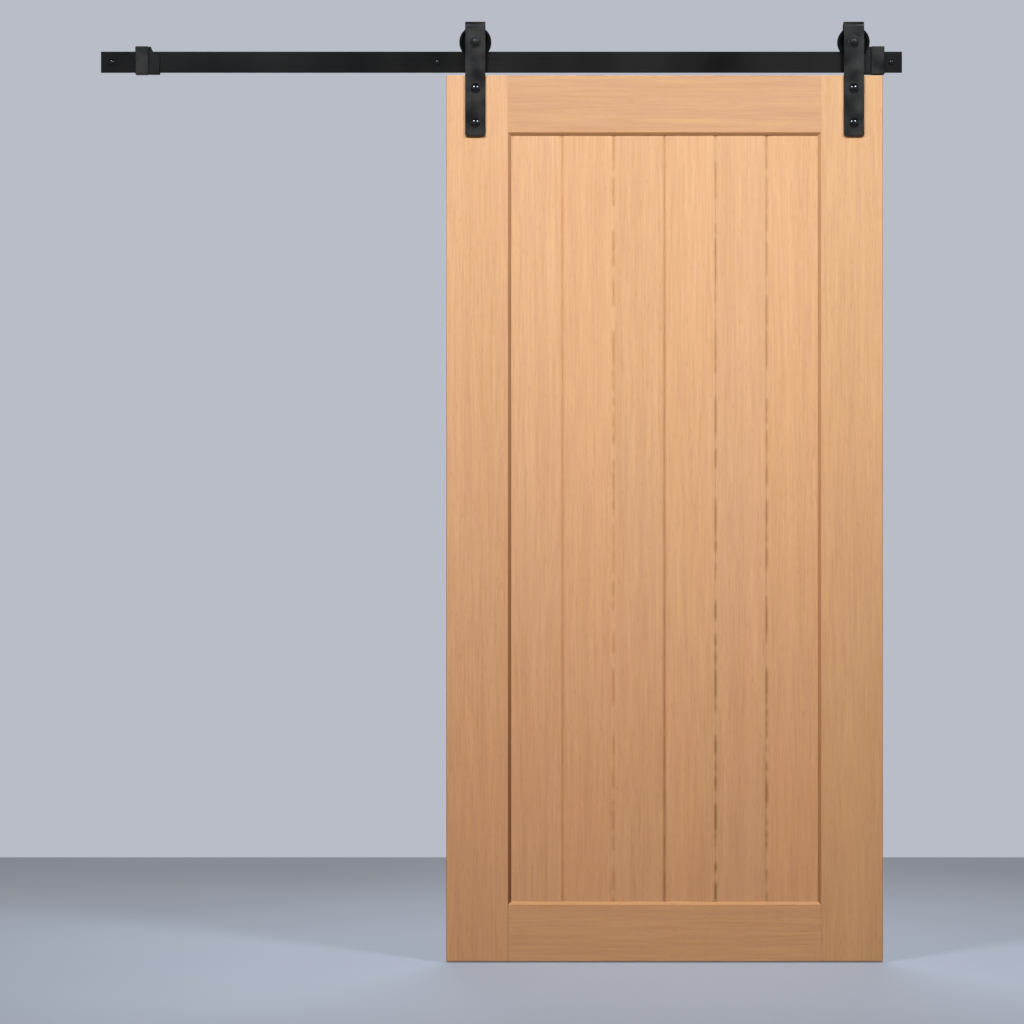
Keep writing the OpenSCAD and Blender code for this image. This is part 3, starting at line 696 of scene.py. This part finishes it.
def lag_screw(x):
    """Wall screw from its key socket over the dome, down the shank and along the thread to the point."""
    low, high = span("wall_screws")
    seat = low[1] + SCREW_HEAD_H
    head = dome(SCREW_HEAD_D, SCREW_HEAD_H, SCREW_SOCKET_W * SOCKET_RIM)
    half = SCREW_SOCKET_W / 2
    rows = np.arange(0, high[1], SCREW_PITCH / SCREW_ROWS)
    taper = np.clip((high[1] - rows) / SCREW_TIP, SCREW_POINT, 1)
    rise = np.clip(rows / SCREW_PITCH, 0, 1)
    root = SCREW_ROOT_D / 2 * taper + (SCREW_SHANK_D - SCREW_ROOT_D) / 2 * (1 - rise)
    thread = helix(rows, root, np.maximum(root, SCREW_D / 2 * taper * np.sqrt(rise)), SCREW_PITCH)
    rings = [
        turned(x, 0, [low[1] + SOCKET_DEEP, low[1] + SOCKET_MOUTH], flats([half, half], 6)),
        turned(x, 0, low[1] + head[:, 1], head[:, 0]),
        turned(x, 0, [seat, SCREW_SHANK_END], [SCREW_SHANK_D / 2, SCREW_SHANK_D / 2]),
        turned(x, 0, rows, thread),
    ]
    return loft(np.concatenate(rings))


def spacer(node):
    """Tube with turned, softened ends."""
    low, high = span(node)
    x, outer = (low[0] + high[0]) / 2, (high[0] - low[0]) / 2
    hole = SPACER_HOLE_D / 2
    section = [[hole, low[1]], [outer, low[1]], [outer, high[1]], [hole, high[1]]]
    outline = eased(section, SPACER_EDGE, closed=True)
    return loft(turned(x, 0, outline[:, 1], outline[:, 0]), wrap=True)


def grooved_wheel(node):
    """Wheel section carried round the axle: dished sides, rounded rim, flared groove and bearing seat."""
    low, high = span(node)
    x, y, z = (low + high) / 2
    rim = (high[0] - low[0]) / 2
    face = (high[1] - low[1]) / 2
    side = [[HUB_R, face], [HUB_R + DISH, face - DISH], [rim - RIM_BAND - DISH, face - DISH],
            [rim - RIM_BAND, face], [rim, face], [rim, GROOVE_MOUTH], [TREAD_R, GROOVE_ROOT]]
    front = [[r, -a] for r, a in side]
    bore = [[SHOULDER_R, face], [SHOULDER_R, SHOULDER_Y], [SEAT_R, SHOULDER_Y], [SEAT_R, -face]]
    section = front + side[::-1] + bore
    trims = np.array(WHEEL_EASE + WHEEL_EASE[::-1] + BORE_EASE) * MM
    outline = eased(section, trims, closed=True)
    return loft(turned(x, z, y + outline[:, 1], outline[:, 0]), wrap=True)


def hanger_strap(side):
    """Flat bar section carried along the strap's middle line, up the leaf, over the wheel and down behind.

    Within a corner radius of each end the bar narrows along a quarter circle.
    """
    low, high = span(f"{side}_hanger_strap")
    wheel_low, wheel_high = span(f"{side}_wheel")
    x = (low[0] + high[0]) / 2
    width = high[0] - low[0]
    front, rear, top = low[1] + STRAP_T / 2, high[1] - STRAP_T / 2, high[2] - STRAP_T / 2
    rear_end = (wheel_low[2] + wheel_high[2]) / 2 - REAR_LEG
    arc = np.linspace(0, math.pi / 2, CORNER_STEPS)
    rise = STRAP_CORNER * (1 - np.cos(arc))
    narrow = STRAP_CORNER * (1 - np.sin(arc))
    corners = [[front, low[2]], [front, top], [rear, top], [rear, rear_end]]
    line = eased(corners, BEND_R + STRAP_T / 2, steps=BEND_STEPS)
    foot = np.stack([np.full(CORNER_STEPS, front), low[2] + rise], 1)
    heel = np.stack([np.full(CORNER_STEPS, rear), rear_end + rise], 1)[::-1]
    path = np.concatenate([foot, line[1:-1], heel])
    inset = np.concatenate([narrow, np.zeros(len(line) - 2), narrow[::-1]])
    step = np.gradient(path, axis=0)
    step /= np.linalg.norm(step, axis=1, keepdims=True)
    across = np.stack([-step[:, 1], step[:, 0]], 1)
    half, thick = width / 2, STRAP_T / 2
    bar = [[-half, -thick], [half, -thick], [half, thick], [-half, thick]]
    section = eased(bar, STRAP_EASE, closed=True)
    shift_x = section[None, :, 0] - np.sign(section[None, :, 0]) * inset[:, None]
    shift_yz = path[:, None] + across[:, None] * section[None, :, 1, None]
    return loft(np.concatenate([(x + shift_x)[..., None], shift_yz], -1))


axles = {}
for side in SIDES:
    wheel_low, wheel_high = span(f"{side}_wheel")
    axles[side] = (wheel_low[0] + wheel_high[0]) / 2, (wheel_low[2] + wheel_high[2]) / 2
    name = f"{side}_hanger_strap"
    piece(f"{name}_bent", [hanger_strap(side)], "leaf", "black_powder_coat", painted_sheen_coat, name)
    name = f"{side}_axle_bolt"
    piece(f"{name}_turned", [axle_bolt(name)], "leaf", "black_fastener", phosphate, name)
    name = f"{side}_wheel"
    piece(f"{name}_grooved", [grooved_wheel(name)], f"{side}_roller", "black_nylon", nylon, name)
washers_low, washers_high = span("axle_washers")
WASHER_FRONTS = (washers_low[1], washers_high[1] - WASHER_T)
rings = [washer(*axles[side], front) for side in SIDES for front in WASHER_FRONTS]
piece("axle_washers_punched", rings, "leaf", "black_fastener", phosphate, "axle_washers")
nuts = [axle_nut(*axles[side]) for side in SIDES]
piece("axle_nuts_hexagon", nuts, "leaf", "black_fastener", phosphate, "axle_nuts")
domes = [carriage_bolt(*place) for place in BOLT_PLACES]
piece("hanger_bolts_domed", domes, "leaf", "black_fastener", oxide, "hanger_bolts")
sleeves = [barrel_nut(*place) for place in BOLT_PLACES]
piece("barrel_nuts_flanged", sleeves, "leaf", "black_fastener", oxide, "barrel_nuts")
screw_places = []
for place in ("left", "middle", "right"):
    name = f"wall_spacer_{place}"
    low, high = span(name)
    screw_places.append((low[0] + high[0]) / 2)
    piece(f"{name}_tube", [spacer(name)], "track", "black_powder_coat", coat, name)
screws = [lag_screw(x) for x in screw_places]
piece("wall_screws_threaded", screws, "track", "black_fastener", oxide, "wall_screws")


# Stage, light and camera


def softbox(name, place, aim, size, power, colour, mirrored=True):
    """Rectangular lamp that faces a point, hidden from the camera and, unless mirrored, from gloss."""
    lamp = bpy.data.lights.new(name, "AREA")
    lamp.shape = "RECTANGLE"
    lamp.size, lamp.size_y = size
    lamp.energy = power
    lamp.spread = LAMP_SPREAD
    lamp.color = linear(colour)[:3]
    made = bpy.data.objects.new(name, lamp)
    made.location = place
    made.rotation_euler = (Vector(aim) - Vector(place)).to_track_quat("-Z", "Y").to_euler()
    made.visible_camera = False
    made.visible_glossy = mirrored
    bpy.context.scene.collection.objects.link(made)


softbox("key_left", (-1.1, -2.3, 1.55), (0.2, 0, -0.9), (0.75, 0.5), 31.0, COOL)
softbox("key_right", (1.9, -2.3, 1.55), (0.6, 0, -0.9), (0.75, 0.5), 31.0, COOL)
softbox("low_fill", (0.4, -3.6, -1.75), (0.4, 0, -1.5), (2.4, 0.6), 5.0, WARM, mirrored=False)
softbox("back", (0.3, 2.6, 1.4), (0.3, 0, -0.7), (2.0, 1.2), 42, COOL, mirrored=False)

floor_z = bottom_low[2] - FLOOR_DROP
floor_mesh = bpy.data.meshes.new("floor")
corners = [(-FLOOR_REACH, -FLOOR_REACH), (FLOOR_REACH, -FLOOR_REACH), (FLOOR_REACH, FLOOR_BEHIND),
           (-FLOOR_REACH, FLOOR_BEHIND)]
floor_mesh.from_pydata([(x, y, floor_z) for x, y in corners], [], [(0, 1, 2, 3)])
floor = bpy.data.objects.new("floor", floor_mesh)
bpy.context.scene.collection.objects.link(floor)


def seen_directly(tree):
    """Socket that is 1 for what the camera sees straight, in a reflection or through glass."""
    path = add(tree, "ShaderNodeLightPath").outputs
    seen = {0: path["Is Camera Ray"], 1: path["Is Glossy Ray"]}
    seen = add(tree, "ShaderNodeMath", seen, operation="MAXIMUM").outputs[0]
    seen = {0: seen, 1: path["Is Transmission Ray"]}
    return add(tree, "ShaderNodeMath", seen, operation="MAXIMUM").outputs[0]


def floor_build(tree):
    """Plain matt floor, pale to the eye, that throws little light back up at the leaf.

    Some of what the eye gets is its own even tone and the rest is lit, so that the shadow stays.
    """
    place = add(tree, "ShaderNodeTexCoord").outputs["Object"]
    cloud = {"Vector": place, "Scale": FLOOR_CLOUDS, "Detail": 2.0}
    cloud = add(tree, "ShaderNodeTexNoise", cloud).outputs[0]
    tones = [(at, linear(code)) for at, code in FLOOR_TONES]
    pale = add(tree, "ShaderNodeValToRGB", {0: cloud}, tones).outputs[0]
    seen = seen_directly(tree)
    colour = mixed(tree, seen, linear(FLOOR_BOUNCE), linear(FLOOR_LIT))
    glow = add(tree, "ShaderNodeMath", {0: seen, 1: FLOOR_GLOW}, operation="MULTIPLY").outputs[0]
    return {"Base Color": colour, "Roughness": 0.8, "Specular IOR Level": 0.2,
            "Emission Color": pale, "Emission Strength": glow}


floor_mesh.materials.append(finished("pale_matt_floor", floor_build))

world = bpy.data.worlds.new("studio")
bpy.context.scene.world = world
world.use_nodes = True
tree = world.node_tree
tree.nodes.clear()
seen = seen_directly(tree)
ambient = add(tree, "ShaderNodeBackground", {"Color": (1, 1, 1, 1), "Strength": AMBIENT}).outputs[0]
way = add(tree, "ShaderNodeTexCoord").outputs["Generated"]
up = add(tree, "ShaderNodeSeparateXYZ", {0: way}).outputs[2]
up = add(tree, "ShaderNodeMapRange", {"Value": up, **OVERHEAD_LIMITS}).outputs[0]
tone = mixed(tree, up, linear(BACKDROP), linear(OVERHEAD))
backdrop = add(tree, "ShaderNodeBackground", {"Color": tone, "Strength": 1.0}).outputs[0]
sky = add(tree, "ShaderNodeMixShader", {0: seen, 1: ambient, 2: backdrop}).outputs[0]
add(tree, "ShaderNodeOutputWorld", {"Surface": sky})

leaf_front = left_low[1]
lens = bpy.data.cameras.new("camera")
lens.sensor_width = SENSOR
lens.lens = SENSOR * CAMERA_DISTANCE / VIEW_WIDTH
camera = bpy.data.objects.new("camera", lens)
camera.location = (AIM_X, leaf_front - CAMERA_DISTANCE, AIM_Z)
camera.rotation_euler = (math.pi / 2, 0, 0)
bpy.context.scene.collection.objects.link(camera)
bpy.context.scene.camera = camera
bpy.context.scene.view_settings.view_transform = "Standard"
